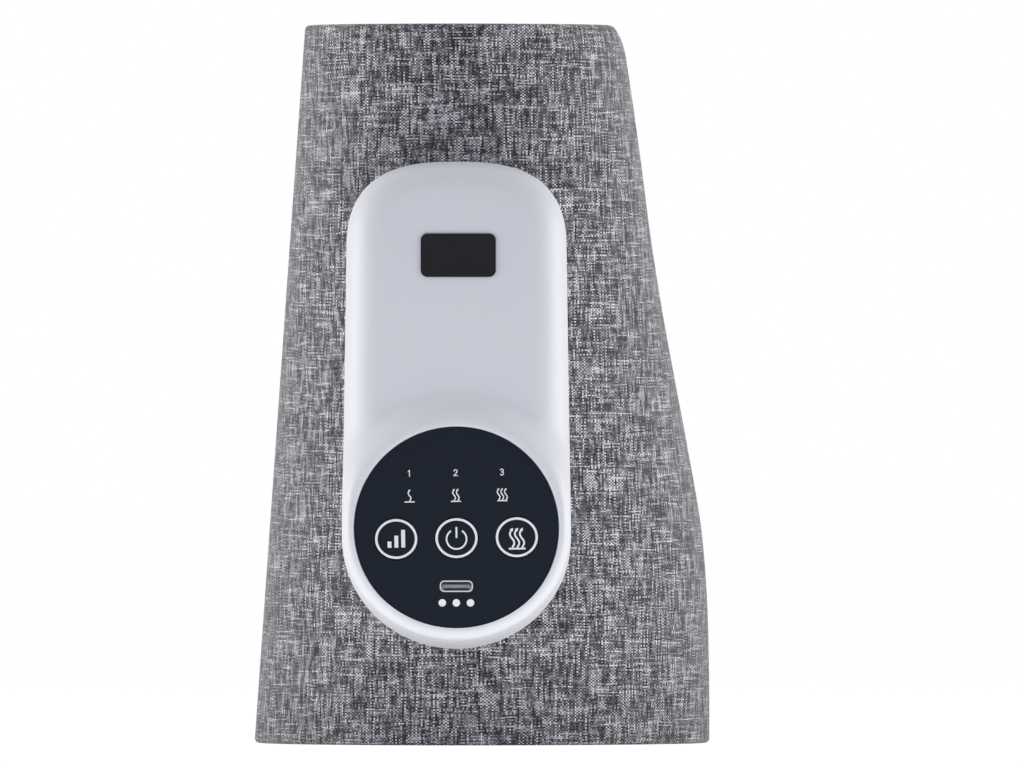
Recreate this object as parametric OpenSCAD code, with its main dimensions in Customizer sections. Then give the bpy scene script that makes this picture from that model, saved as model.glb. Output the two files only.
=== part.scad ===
// Wrap-around calf massager: a padded air cuff that closes at the back,
// with a rigid control unit on its front.

/* [Cuff] */
// Height of the cuff
cuff_h = 208; // [190:1:240]
// Half width of the wide end on the shin side
shin_low = 58.7; // [54:0.2:64]
// Half width of the narrow end on the shin side
shin_high = 44; // [41:0.2:48]
// Depth from the side line to the front, at the wide end
front_low = 64; // [61:0.5:67]
// Depth from the side line to the front, at the narrow end
front_high = 44.5; // [42:0.5:48]
// Thickness of the outer fabric
cover_t = 1.2; // [0.8:0.1:1.6]
// Thickness of the lining
lining_t = 0.9; // [0.6:0.1:1.2]
// Depth of the lining in the front panel
front_pad = 7.4; // [6:0.2:9]
// Depth of the lining in the two wings
wing_pad = 8.6; // [7.6:0.2:10]
// Depth of the lining in the thin closing flap
flap_pad = 2.9; // [2.6:0.1:3.2]

/* [Closure] */
// Angle from the front at which the front panel ends and the wings start
seam_angle = 105; // [100:1:110]
// Angle at which the closing flap ends
flap_end = 205; // [200:1:210]
// Angle at which the wing under the flap ends
tuck_end = 181; // [178:1:182]
// Depth of the tucked wing's fabric below the flap's outer face
tuck_depth = 5.7; // [5.4:0.1:6]
// Height of each of the two hook strips
hook_h = 62; // [50:1:70]

/* [Control unit] */
// Lean of the unit's face from upright
lean = 8; // [7:0.5:9]
// Height of the round panel's centre above the standing edge
unit_z = 59.8; // [56:0.2:64]
// Half width of the housing at the panel
unit_r = 32.9; // [32.6:0.1:35]
// Half width of the housing at its upper end
unit_top_r = 31.7; // [30:0.1:33]
// Length from the panel's centre to the upper end
unit_up = 108.6; // [100:0.2:112]
// Length from the panel's centre to the lower end
unit_down = 32; // [31.8:0.1:34]
// Height of the flat face above the parting line
face_z = 14; // [12:0.5:16]
// Height of the raised rim round the panel above the parting line
rim_z = 21; // [19:0.5:23]
// Wall thickness of the housings
wall = 2; // [1.6:0.1:2.4]
// Radius of the soft edge round the flat face
face_round = 10; // [7:0.5:11]

/* [Panel] */
// Radius of the round control panel
panel_r = 29.3; // [28.5:0.1:29.5]
// Thickness of the panel
panel_t = 1.5; // [1.2:0.1:1.8]
// Radius of a button cap
button_r = 6.15; // [5.5:0.05:6.6]
// Distance between the buttons
button_pitch = 17.3; // [16:0.1:18]
// How far below the panel's centre the buttons sit
button_drop = 2.9; // [1:0.1:4]
// Travel of a button
button_travel = 0.6; // [0.3:0.1:0.8]

/* [Hidden] */
$fn = 48;

// Where the leg's axis lies from the middle of the whole object's outline
leg_x = -7.25;
leg_y = 12.88;

// Half widths and depths that bulge with the calf, as shares of the height
calf_side = [[0, 73.2], [0.1, 73], [0.2, 72.4], [0.3, 70.6], [0.4, 67.3], [0.6, 59.6], [0.8, 53.6], [1, 47]];
calf_back = [[0, 68], [0.2, 69], [0.4, 65.8], [0.6, 59], [0.8, 51.5], [0.9, 48.2], [1, 46.5]];
bend = 7.5;             // degrees between the upright lines along which every layer bends
rows = 10;              // level lines along which every layer bends

gap = 0.1;              // between layers of one body
seam_gap = 0.5;         // in degrees, between the front panel and a wing
hook_t = 0.8;
loop_t = 0.5;
face_gap = 0.4;         // between the housing's back and the fabric
pocket = [[-33, 33], [0.205, 0.655]];      // angles and share of height of the foam's pocket
pocket_d = 6;
hose_r = 1.7;
hose_bore = 1;
hose_x = 3.2;           // half the distance between the two hoses where they leave the unit
channel = 0.014;        // half the height of the hoses' channel, as a share of the cuff
hose_d = 5.1;           // depth of the hoses' centre line

unit_y = -69.4;         // the parting line at the panel's centre, from the leg's axis
top_y = 82;             // where the upper end's curve starts
top_power = 2.7;        // squareness of that curve
side_steps = 15;        // points along a side, closer together beside the raised rim
collar_in = 30.6;       // radius at which the raised rim starts to fall
collar_out = 41;        // radius at which it reaches the flat face
rim_round = 2.3;        // edge radius round the panel
slim = 46;              // radius from which the face's own edge radius holds
taper = 3;              // how much the lower housing draws in towards the fabric
hatch = [0, 30, 7];     // centre and radius of the hose hole in the housing's back
clamp_d = 3.2;          // depth of the inner face of the plate behind the unit

panel_top = rim_z - 0.4;
panel_low = panel_top - panel_t;
ledge_z = panel_low - 0.4;      // the gasket lies between the ledge and the panel
ledge_r = 27.5;
board_z = panel_top - 7.6;      // top face of the circuit board
board_t = 1.6;
button_hole = button_r + 0.15;
button_x = [-button_pitch, 0, button_pitch];
mark_t = 0.12;                  // thickness of the printed marks
mark_line = 0.7;                // width of the buttons' printed rings
mark_flat = 0.95;               // the printed rings are a little wider than high
print_turn = 0.85;              // the print's slight turn on the panel, in degrees
usb = [9.5, 3.3];
usb_y = -16.8;
usb_corner = 1.3;
usb_wall = 0.35;
light_y = -21.6;
light_pitch = 4.04;
light_r = 1.07;
badge = [21.6, 12.6];
badge_at = [0.5, 80];
housing_screw_at = [[-22, 84, 12.8], [22, 84, 12.8], [-26, 17, 17.6], [26, 17, 17.6]];
clamp_screw_at = [[-15, 2], [15, 2], [-13, 52], [13, 52]];

// Smooth step from 0 to 1
function ease(t) = let (c = max(0, min(1, t))) c * c * (3 - 2 * c);
function ramp(v, from, to) = ease((v - from) / (to - from));
function mix(a, b, t) = a + (b - a) * t;
function shin_side(f) = mix(shin_low, shin_high, f);
function front_side(f) = mix(front_low, front_high, f);
function half_w(a, f) = sin(a) > 0 ? lookup(f, calf_side) : shin_side(f);
function half_d(a, f) = cos(a) > 0 ? front_side(f) : lookup(f, calf_back);
function depth_at(d, a) = is_list(d) ? lookup(a, d) : d;
function moved(table, by) = [for (k = table) [k[0], k[1] + by]];

// A point of the cuff: angle from the front, share of the height, depth under the outer face;
// a depth is a number or a table of angle and depth
function cuff_point(a, f, d) = let (in = depth_at(d, a))
    [(half_w(a, f) - in) * sin(a), -(half_d(a, f) - in) * cos(a), f * cuff_h];

// The same point on the flat facets between the bending lines, so that all layers lie parallel;
// a hollow cut into a layer bends beside those lines, by a share of their distance
function facet_point(a, f, d, beside = 0) =
    let (a0 = (floor(a / bend - beside) + beside) * bend,
         f0 = (floor(f * rows - beside + 0.001) + beside) / rows,
         s = (a - a0) / bend, t = (f - f0) * rows, f1 = t > 0.001 ? f0 + 1 / rows : f0)
    mix(mix(cuff_point(a0, f0, d), cuff_point(a0 + bend, f0, d), s),
        mix(cuff_point(a0, f1, d), cuff_point(a0 + bend, f1, d), s), t);

// Both ends and the bending lines between them
function lines(ends, step, beside) = let (least = step / 20)
    concat([ends[0]],
           [for (k = [ceil((ends[0] + least) / step - beside):floor((ends[1] - least) / step - beside)])
               (k + beside) * step],
           [ends[1]]);

function quad(a, b, c, d) = [[a, b, c], [a, c, d]];

// A curved sheet between two depths
module layer(angles, shares, outer, inner, beside = 0) {
    at = lines(angles, bend, beside);
    up = lines(shares, 1 / rows, beside);
    na = len(at) - 1;
    nf = len(up) - 1;
    m = (na + 1) * (nf + 1);
    points = concat(
        [for (a = at, f = up) facet_point(a, f, outer, beside)],
        [for (a = at, f = up) facet_point(a, f, inner, beside)]);
    function o(i, j) = i * (nf + 1) + j;
    function n(i, j) = m + o(i, j);
    quads = concat(
        [for (i = [0:na - 1], j = [0:nf - 1]) quad(o(i, j), o(i, j + 1), o(i + 1, j + 1), o(i + 1, j))],
        [for (i = [0:na - 1], j = [0:nf - 1]) quad(n(i, j), n(i + 1, j), n(i + 1, j + 1), n(i, j + 1))],
        [for (i = [0:na - 1]) quad(o(i, 0), o(i + 1, 0), n(i + 1, 0), n(i, 0))],
        [for (i = [0:na - 1]) quad(o(i + 1, nf), o(i, nf), n(i, nf), n(i + 1, nf))],
        [for (j = [0:nf - 1]) quad(o(0, j + 1), o(0, j), n(0, j), n(0, j + 1))],
        [for (j = [0:nf - 1]) quad(o(na, j), o(na, j + 1), n(na, j + 1), n(na, j))]);
    polyhedron(points, [for (q = quads, t = q) t], convexity = 6);
}

// The hoses run level round the cuff from where they leave the unit
function hose_share() = (unit_z + hatch[1] * cos(lean) + (seat(0, hatch[1]) - hose_d) * sin(lean)) / cuff_h;
function hose_start(side) =
    asin((hose_x + hose_r + gap) / (half_w(side, hose_share()) - hose_d));

module hose_along(from, to, r, steps, sides = 8) {
    rings = [for (i = [0:steps])
        let (a = mix(from, to, i / steps), c = cuff_point(a, hose_share(), hose_d), out = [sin(a), -cos(a), 0])
        [for (k = [0:sides - 1]) c + r * (cos(k * 360 / sides) * out + [0, 0, sin(k * 360 / sides)])]];
    function at(i, k) = i * sides + k % sides;
    quads = [for (i = [0:steps - 1], k = [0:sides - 1])
        quad(at(i, k), at(i, k + 1), at(i + 1, k + 1), at(i + 1, k))];
    caps = [for (k = [1:sides - 2]) each [[at(0, 0), at(0, k + 1), at(0, k)],
                                          [at(steps, 0), at(steps, k), at(steps, k + 1)]]];
    polyhedron([for (ring = rings) each ring], concat([for (q = quads, t = q) t], caps));
}

// The housing's outline, drawn in by an inset, anticlockwise from the right
function side_share(i) = pow(i / side_steps, 1.25);
function side_point(i, inset) = [mix(unit_r, unit_top_r, side_share(i)) - inset, top_y * side_share(i)];
function outline(inset) = concat(
    [for (i = [0:side_steps - 1]) side_point(i, inset)],
    [for (a = [0:7.5:180])
        [(unit_top_r - inset) * sign(cos(a)) * pow(abs(cos(a)), 2 / top_power),
         top_y + (unit_up - top_y - inset) * pow(sin(a), 2 / top_power)]],
    [for (i = [side_steps - 1:-1:0]) let (p = side_point(i, inset)) [-p[0], p[1]]],
    [for (a = [187.5:7.5:352.5]) [(unit_r - inset) * cos(a), (unit_down - inset) * sin(a)]]);

// Share of the raised rim at a point of the face
function collar(p) = 1 - ramp(norm(p), collar_in, collar_out);
function face_height(p) = mix(face_z, rim_z, collar(p));
function edge_round(p) = mix(rim_round, face_round, ramp(norm(p), unit_r, slim));
function on_circle(p, c, r) = let (a = atan2(p[1] - c[1], p[0] - c[0])) [c[0] + r * cos(a), c[1] + r * sin(a)];

// Height of the fabric under a point of the unit, in the unit's own frame
function fabric_y(x, z) = let (f = z / cuff_h, w = x > 0 ? lookup(f, calf_side) : shin_side(f))
    -front_side(f) * sqrt(1 - pow(x / w, 2));
function seat(x, y, guess = -10, tries = 4) = tries == 0 ? guess :
    let (row_y = fabric_y(x, unit_z + y * cos(lean) + guess * sin(lean)))
    seat(x, y, (y * sin(lean) + unit_y - row_y) / cos(lean), tries - 1);

// Closes a loop of rings, each with as many points, into one solid with a hole through it
module ring_solid(rings) {
    n = len(rings[0]);
    m = len(rings);
    function at(r, i) = (r % m) * n + i % n;
    quads = [for (r = [0:m - 1], i = [0:n - 1]) quad(at(r, i), at(r + 1, i), at(r + 1, i + 1), at(r, i + 1))];
    polyhedron([for (ring = rings) each ring], [for (q = quads, t = q) t], convexity = 8);
}

// One ring of the housing's rounded edge, at an angle round the edge
function edge_ring(inset, drop, a) = [for (i = [0:len(outline(0)) - 1])
    let (p = outline(0)[i], r = max(edge_round(p) - drop, 0.5), q = outline(inset + r * (1 - cos(a)))[i])
    [q[0], q[1], face_height(q) - drop - r + r * sin(a)]];

// Rings across the face: t runs to 1 at the raised rim's foot, and to 2 at a circle round the panel
function foot_r(q, r_in) = r_in + 0.85 * (min(norm(q), collar_out + 2) - r_in);
function ring_r(q, r_in, t) = t < 1 ? mix(norm(q), foot_r(q, r_in), t) : mix(foot_r(q, r_in), r_in, t - 1);
function face_ring(inset, drop, r_in, t) = [for (i = [0:len(outline(0)) - 1])
    let (p = outline(0)[i], r = max(edge_round(p) - drop, 0.5), q = outline(inset + r)[i],
         s = on_circle(q, [0, 0], ring_r(q, r_in, t)))
    [s[0], s[1], face_height(s) - drop]];

function flat_ring(points, z) = [for (p = points) [p[0], p[1], z]];
function round_ring(r, z) = [for (p = outline(0)) let (c = on_circle(p, [0, 0], r)) [c[0], c[1], z]];
function seat_ring(inset, t, up) = [for (p = outline(inset))
    let (c = on_circle(p, [hatch[0], hatch[1]], hatch[2]), q = mix(p, c, t)) [q[0], q[1], seat(q[0], q[1]) + up]];

module on_leg() translate([leg_x, leg_y, 0]) children();
module on_unit() on_leg() translate([0, unit_y, unit_z]) rotate([90 - lean, 0, 0]) children();
module post(x, y, z0, z1, r) translate([x, y, z0]) cylinder(h = z1 - z0, r = r);
module rounded(size, r) {
    square([size[0] - 2 * r, size[1]], center = true);
    square([size[0], size[1] - 2 * r], center = true);
    for (x = [-1, 1], y = [-1, 1]) translate([x * (size[0] / 2 - r), y * (size[1] / 2 - r)]) circle(r);
}

module upper_housing() color("ghostwhite") on_unit() difference() {
    union() {
        ring_solid(concat(
            [flat_ring(outline(0), 0)],
            [for (a = [0:15:90]) edge_ring(0, 0, a)],
            [for (t = [0.5, 1, 1.15, 1.3, 1.45, 1.6, 1.75, 1.9]) face_ring(0, 0, panel_r + 0.15, t)],
            [round_ring(panel_r + 0.15, rim_z), round_ring(panel_r + 0.15, ledge_z),
             round_ring(ledge_r, ledge_z), round_ring(ledge_r, ledge_z - 1.6)],
            [for (t = [1.8, 1.5, 1.25, 1, 0.5]) face_ring(wall, wall + 1.6, ledge_r + 1.5, t)],
            [for (a = [90, 45, 0]) edge_ring(wall, wall + 1.6, a)],
            [flat_ring(outline(wall), 0)]));
        for (s = housing_screw_at) post(s[0], s[1], 0.1, s[2], 3);
    }
    for (s = housing_screw_at) post(s[0], s[1], -1, s[2] - 2.2, 1.25);
}

module lower_housing() color("gainsboro") on_unit() difference() {
    union() {
        ring_solid(concat(
            [for (t = [1, 0.8, 0.6, 0.4, 0.2, 0]) seat_ring(taper + 1, t, face_gap)],
            [seat_ring(taper, 0, face_gap + 1), flat_ring(outline(0), -1.5), flat_ring(outline(0), 0),
             flat_ring(outline(wall), 0), flat_ring(outline(wall), -1.5)],
            [for (t = [0, 0.2, 0.4, 0.6, 0.8, 1]) seat_ring(wall + taper, t, face_gap + wall)]));
        for (s = housing_screw_at)
            post(s[0], s[1], seat(s[0], s[1]) + face_gap + 1.4, -0.1, 3.6);
        for (s = clamp_screw_at)
            post(s[0], s[1], seat(s[0], s[1]) + face_gap + 1, seat(s[0], s[1]) + 6.5, 2.8);
    }
    for (s = housing_screw_at) {
        post(s[0], s[1], -40, 1, 1.6);
        post(s[0], s[1], -40, seat(s[0], s[1]) + 4.4, 2.9);
    }
    for (s = clamp_screw_at) post(s[0], s[1], -40, seat(s[0], s[1]) + 6, 1.1);
}

module control_panel() color("#20242c") on_unit() difference() {
    post(0, 0, panel_low, panel_top, panel_r);
    rotate(print_turn) for (x = button_x) post(x, -button_drop, 0, 30, button_hole);
    for (k = [-1:1]) post(k * light_pitch, light_y, 0, 30, light_r + 0.03);
    translate([0, usb_y, 0]) linear_extrude(30) rounded(usb + [0.1, 0.1], usb_corner + 0.05);
}

module panel_gasket() color("dimgray") on_unit() difference() {
    post(0, 0, ledge_z, panel_low, panel_r);
    post(0, 0, 0, 30, ledge_r);
}

module badge_plate() color("#26272d") on_unit()
    translate([badge_at[0], badge_at[1], face_z]) linear_extrude(0.5) rounded(badge, 2);

// One rising heat wave: a line that swings right, then left, and ends in an arrow tip
module heat_wave(h, swing, w, steps = 12) {
    function way(t) = [2 * PI * swing * cos(360 * t), h];
    function side(t, s) = let (d = way(t))
        [swing * sin(360 * t), h * t] + s * w / 2 / norm(d) * [d[1], -d[0]];
    polygon(concat([for (i = [0:steps]) side(i / steps, 1)], [for (i = [steps:-1:0]) side(i / steps, -1)]));
    translate([0, h]) rotate(atan2(h, 2 * PI * swing))
        polygon([[-0.7 * w, w], [-0.7 * w, -w], [1.1 * w, 0]]);
}

// A row of heat waves over a base line
module heat_icon(waves, pitch, h, swing, w, base) {
    for (k = [0:waves - 1]) translate([(k - (waves - 1) / 2) * pitch, 1.2 * w]) heat_wave(h, swing, w);
    translate([0, w / 2]) square([base, w], center = true);
}

module stroke(from, to, w) {
    d = to - from;
    translate(from) rotate(atan2(d[1], d[0])) translate([-w / 2, -w / 2]) square([norm(d) + w, w]);
}

// Plain stroke figures 1 to 3, one unit high and 0.55 wide; a round part is an arc of eight strokes
function arc(c, r, from, to) = [for (i = [0:8]) let (a = mix(from, to, i / 8)) c + r * [cos(a), sin(a)]];
figures = [[[[0.1, 0.78], [0.32, 1], [0.32, 0]]],
           [concat(arc([0.275, 0.73], 0.27, 165, -40), [[0, 0], [0.58, 0]])],
           [concat(arc([0.26, 0.75], 0.25, 150, -90), arc([0.26, 0.25], 0.27, 90, -150))]];

module figure(k, h, w) translate([-0.275 * h, 0])
    for (line = figures[k], i = [0:len(line) - 2]) stroke(line[i] * h, line[i + 1] * h, w);

module mode_marks() color("white") on_unit() translate([0, 0, panel_top]) rotate(print_turn)
    linear_extrude(mark_t) for (k = [0:2]) translate([(k - 1) * 13.3, 0]) {
        translate([0, 7.6]) heat_icon(k + 1, 1.05, 3.1, 0.38, 0.34, 2.9);
        translate([0, 15.2]) figure(k, 1.7, 0.26);
    }

module on_key(x) on_unit() rotate(print_turn) translate([x, -button_drop, 0]) children();

module button(x) color("#20242c") on_key(x) {
    post(0, 0, panel_low - 1.2, panel_top + 0.05, button_r);
    post(0, 0, panel_low - 1.6, panel_low - 0.8, button_r + 0.8);
    post(0, 0, board_z + 3.4 + button_travel + 0.1, panel_low - 1, 1.6);
}

module mark_ring(x) on_key(x) translate([0, 0, panel_top + 0.05]) linear_extrude(mark_t) {
    scale([1, mark_flat]) difference() {
        circle(button_r - 0.1);
        circle(button_r - 0.1 - mark_line);
    }
    children();
}

module intensity_mark() color("white") mark_ring(-button_pitch)
    for (k = [0:2]) translate([-2.5 + k * 1.97, -2.5]) square([1.12, 1.8 + k * 1.65]);

module power_mark() color("white") mark_ring(0) {
    translate([0, -0.29]) difference() {
        circle(3.1);
        circle(2.62);
        rotate(90) polygon([[0, 0], [5, 3.3], [5, -3.3]]);
    }
    translate([-0.26, 0.05]) square([0.52, 3.2]);
}

module heat_mark() color("white") mark_ring(button_pitch)
    translate([0.05, -3.55]) heat_icon(3, 1.42, 5.2, 0.62, 0.52, 4.8);

module usb_shell() color("silver") on_unit() translate([0, usb_y, 0]) {
    difference() {
        translate([0, 0, board_z]) linear_extrude(panel_top - board_z - 0.1) rounded(usb, usb_corner);
        translate([0, 0, board_z + 0.8]) linear_extrude(20)
            rounded(usb - [usb_wall, usb_wall] * 2, usb_corner - usb_wall);
    }
}

module usb_tongue() color("#303030") on_unit()
    translate([0, usb_y + 0.1, board_z + 0.8]) linear_extrude(5.8) square([7.3, 0.9], center = true);

module light_pipes() color("white") on_unit()
    for (k = [-1:1]) post(k * light_pitch, light_y, board_z + 0.8, panel_top + 0.02, light_r);

module main_board() color("seagreen") on_unit() difference() {
    post(0, 0, board_z - board_t, board_z, 26.6);
    for (s = [-1, 1]) post(s * 26, 17, 0, 30, 4);
}

module key_switches() color("black")
    for (x = button_x) on_key(x) translate([0, 0, board_z]) {
        translate([-3, -3, 0]) cube([6, 6, 2.6]);
        cylinder(h = 3.4, r = 1.7);
    }

module battery_pack() color("royalblue") on_unit()
    translate([-17.5, 46, 0.6]) cube([35, 52, 9.2]);

module pump_motor() color("silver") on_unit() translate([-11.5, -3, 2.4]) rotate([-90, 0, 0])
    cylinder(h = 28, r = 8.5);

module pump_head() color("#404040") on_unit() translate([-20.5, -19, -6]) {
    cube([18, 15.9, 17]);
    translate([9, 0, 8]) rotate([90, 0, 0]) cylinder(h = 3, r = 1.6);
}

module release_valve() color("goldenrod") on_unit() translate([3.4, -20.5, -7]) {
    cube([12, 18, 12]);
    translate([4, 18, 6]) rotate([-90, 0, 0]) cylinder(h = 3, r = 1.6);
}

module air_manifold() color("lightgray") on_unit() difference() {
    union() {
        translate([-8, hatch[1] - 3.5, -4.5]) cube([16, 7, 6]);
        for (x = [-hose_x, hose_x]) post(x, hatch[1], -7.5, -4.4, hose_bore - 0.03);
    }
    for (x = [-hose_x, hose_x]) post(x, hatch[1], -9, -1, 0.6);
}

module outlet_hoses() color("gainsboro") on_unit() for (x = [-hose_x, hose_x]) difference() {
    post(x, hatch[1], seat(x, hatch[1]) - hose_d - hose_r, -4.6, hose_r);
    post(x, hatch[1], -40, 0, hose_bore);
}

module screw(x, y, z0, z1, head_r, head_h, r) {
    post(x, y, z0, z0 + head_h, head_r);
    post(x, y, z0 + head_h - 0.2, z1, r);
}

module housing_screws() color("silver") on_unit() for (s = housing_screw_at)
    screw(s[0], s[1], seat(s[0], s[1]) + 2.4, s[2] - 3, 2.7, 1.9, 1.2);

module clamp_screws() color("silver") on_unit() for (s = clamp_screw_at)
    screw(s[0], s[1], seat(s[0], s[1]) - clamp_d - 2, seat(s[0], s[1]) + 5.6, 2.2, 1.1, 1.05);

// Holes that the unit needs through the fabric and the plate behind it
module unit_holes(r) on_leg() translate([0, unit_y, unit_z]) rotate([90 - lean, 0, 0]) {
    for (s = clamp_screw_at) post(s[0], s[1], -40, 0, r);
    post(hatch[0], hatch[1], -24, 0, 6);
}

module clamp_plate() color("darkgray") difference() {
    on_leg() layer([-27, 27], [0.23, 0.62], cover_t + gap, clamp_d);
    unit_holes(1.25);
}

module front_cover() color("slategray") difference() {
    on_leg() layer([-seam_angle, seam_angle], [0, 1], 0, cover_t);
    unit_holes(1.3);
}

module front_foam() color("lightyellow") difference() {
    on_leg() layer([-seam_angle, seam_angle], [0, 1], cover_t + gap, front_pad - 0.5);
    on_leg() layer(pocket[0], pocket[1], -1, pocket_d, beside = 0.4);
    for (angles = [[-106, -1.6], [1.2, 106]]) on_leg()
        layer(angles, [hose_share() - channel, hose_share() + channel], 0, front_pad, beside = 0.6);
}

module heating_film() color("darkorange") on_leg()
    layer([-58, 58], [0.2, 0.84], front_pad - 0.4, front_pad - gap);

module front_lining() color("dimgray") on_leg()
    layer([-seam_angle, seam_angle], [0, 1], front_pad, front_pad + lining_t);

module cuff_hoses() color("gainsboro") on_leg() {
    left = -hose_start(-90);
    right = hose_start(90);
    difference() {
        hose_along(1 - seam_angle, left, hose_r, 12);
        hose_along(-1 - seam_angle, left + 1, hose_bore, 12);
    }
    difference() {
        hose_along(right, seam_angle - 1, hose_r, 12);
        hose_along(right - 1, seam_angle + 1, hose_bore, 12);
    }
}

// The left wing closes the cuff: it is thick over the calf and thin past the back
left_start = -seam_angle - seam_gap;
left_thin = -23 * bend;         // where the thick part starts to thin out
left_inner = [[-270, flap_pad], [left_thin - bend, flap_pad], [left_thin, wing_pad], [0, wing_pad]];
left_under = moved(left_inner, lining_t);

module left_cover() color("slategray") on_leg() layer([-flap_end, left_start], [0, 1], 0, cover_t);

module bladder(angles, shares) on_leg() layer(angles, shares, cover_t + gap, wing_pad - gap);

module left_bladder_lower() color("lightsteelblue") bladder([left_thin + 0.2, left_start], [0, 0.496]);
module left_bladder_upper() color("lightsteelblue") bladder([left_thin + 0.2, left_start], [0.504, 1]);

module left_flap_core() color("lightyellow") on_leg()
    layer([-flap_end, left_thin], [0, 1], cover_t + gap, moved(left_inner, -gap));

module left_lining() color("dimgray") on_leg()
    layer([-flap_end, left_start], [0, 1], left_inner, left_under);

module hook_strips() color("black") on_leg() for (f = [0.08, 0.6])
    layer([-flap_end + 1.5, -flap_end + 22], [f, f + hook_h / cuff_h],
          flap_pad + lining_t + gap, flap_pad + lining_t + gap + hook_t);

// The right wing is tucked under the closing flap
right_start = seam_angle + seam_gap;
right_step = 19 * bend;         // where it steps in to pass under the flap
right_outer = [[0, 0], [right_step, 0], [right_step + bend, tuck_depth], [360, tuck_depth]];
right_under = moved(right_outer, cover_t);

module right_cover() color("slategray") on_leg()
    layer([right_start, tuck_end], [0, 1], right_outer, right_under);

module right_bladder_lower() color("lightsteelblue") bladder([right_start, right_step - 0.2], [0, 0.496]);
module right_bladder_upper() color("lightsteelblue") bladder([right_start, right_step - 0.2], [0.504, 1]);

module right_tuck_core() color("lightyellow") on_leg()
    layer([right_step, tuck_end], [0, 1], moved(right_under, gap), wing_pad - gap);

module right_lining() color("dimgray") on_leg()
    layer([right_start, tuck_end], [0, 1], wing_pad, wing_pad + lining_t);

module loop_patch() color("gray") on_leg()
    layer([156.5, tuck_end - 1], [0.05, 0.93], tuck_depth - gap - loop_t, tuck_depth - gap);

upper_housing();
lower_housing();
control_panel();
panel_gasket();
badge_plate();
mode_marks();
button(button_x[0]);  // intensity_button
button(button_x[1]);  // power_button
button(button_x[2]);  // heat_button
intensity_mark();
power_mark();
heat_mark();
usb_shell();
usb_tongue();
light_pipes();
main_board();
key_switches();
battery_pack();
pump_motor();
pump_head();
release_valve();
air_manifold();
outlet_hoses();
housing_screws();
clamp_plate();
clamp_screws();
front_cover();
front_foam();
front_lining();
heating_film();
cuff_hoses();
left_cover();
left_bladder_lower();
left_bladder_upper();
left_flap_core();
left_lining();
hook_strips();
right_cover();
right_bladder_lower();
right_bladder_upper();
right_tuck_core();
right_lining();
loop_patch();
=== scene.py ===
import math

import bmesh
import bpy
from mathutils import Matrix, Vector


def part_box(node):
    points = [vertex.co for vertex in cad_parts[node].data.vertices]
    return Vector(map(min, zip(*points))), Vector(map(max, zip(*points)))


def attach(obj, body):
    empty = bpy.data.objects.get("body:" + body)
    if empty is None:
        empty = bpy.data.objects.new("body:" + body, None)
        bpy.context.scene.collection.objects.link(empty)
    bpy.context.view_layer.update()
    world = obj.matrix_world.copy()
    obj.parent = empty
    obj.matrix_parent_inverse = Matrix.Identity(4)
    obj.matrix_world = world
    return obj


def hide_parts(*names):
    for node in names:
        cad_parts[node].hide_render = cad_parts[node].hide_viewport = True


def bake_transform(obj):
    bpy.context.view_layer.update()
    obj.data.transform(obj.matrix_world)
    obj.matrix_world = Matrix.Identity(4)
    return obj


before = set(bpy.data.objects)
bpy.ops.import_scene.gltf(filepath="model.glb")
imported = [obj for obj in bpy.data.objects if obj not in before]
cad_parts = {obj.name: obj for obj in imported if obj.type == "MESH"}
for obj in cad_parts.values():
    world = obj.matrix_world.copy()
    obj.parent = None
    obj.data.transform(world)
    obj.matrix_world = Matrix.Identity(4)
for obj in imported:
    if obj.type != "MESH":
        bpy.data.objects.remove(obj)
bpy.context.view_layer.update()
mm = 0.001
print("frame loaded:", len(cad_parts), "parts")


# maths that the shapes share

def mix(a, b, t):
    return a + (b - a) * t


def ease(t):
    t = max(0.0, min(1.0, t))
    return t * t * (3 - 2 * t)


def ramp(value, start, end):
    return ease((value - start) / (end - start))


def lookUp(table, x):  # straight between the table's points
    if x <= table[0][0]:
        return table[0][1]
    for (x0, y0), (x1, y1) in zip(table, table[1:]):
        if x <= x1:
            return mix(y0, y1, (x - x0) / (x1 - x0))
    return table[-1][1]


def smoothUp(table, x):  # a smooth curve through the table's points
    last = len(table) - 1
    x = max(table[0][0], min(table[last][0], x))
    k = next(i for i in range(last) if x <= table[i + 1][0])
    (x0, y0), (x1, y1) = table[k], table[k + 1]
    slopes = []
    for i in (k, k + 1):
        a, b = table[max(0, i - 1)], table[min(last, i + 1)]
        slopes.append((b[1] - a[1]) / (b[0] - a[0]))
    h = x1 - x0
    t = (x - x0) / h
    return (y0 * (1 + 2 * t) * (1 - t) ** 2 + h * slopes[0] * t * (1 - t) ** 2
            + y1 * t * t * (3 - 2 * t) + h * slopes[1] * t * t * (t - 1))


# operators in edit mode, as by hand

def deselectAll():
    if bpy.context.object and bpy.context.object.mode != "OBJECT":
        bpy.ops.object.mode_set(mode="OBJECT")
    bpy.ops.object.select_all(action="DESELECT")


def pick(piece):
    deselectAll()
    piece.select_set(True)
    bpy.context.view_layer.objects.active = piece


def named(name):
    piece = bpy.context.object
    piece.name = name
    piece.data.name = name
    return piece


def finish(piece, body, nodes, material, smooth):  # a piece without a body is left unattached
    pick(piece)
    bpy.ops.object.transform_apply(location=True, rotation=True, scale=True)
    bpy.ops.object.shade_smooth_by_angle(angle=math.radians(smooth))
    piece.data.materials.clear()
    piece.data.materials.append(material)
    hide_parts(*nodes)
    if body:
        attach(piece, body)


# the cuff's form: sizes in millimetres, angles in degrees from the front

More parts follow.
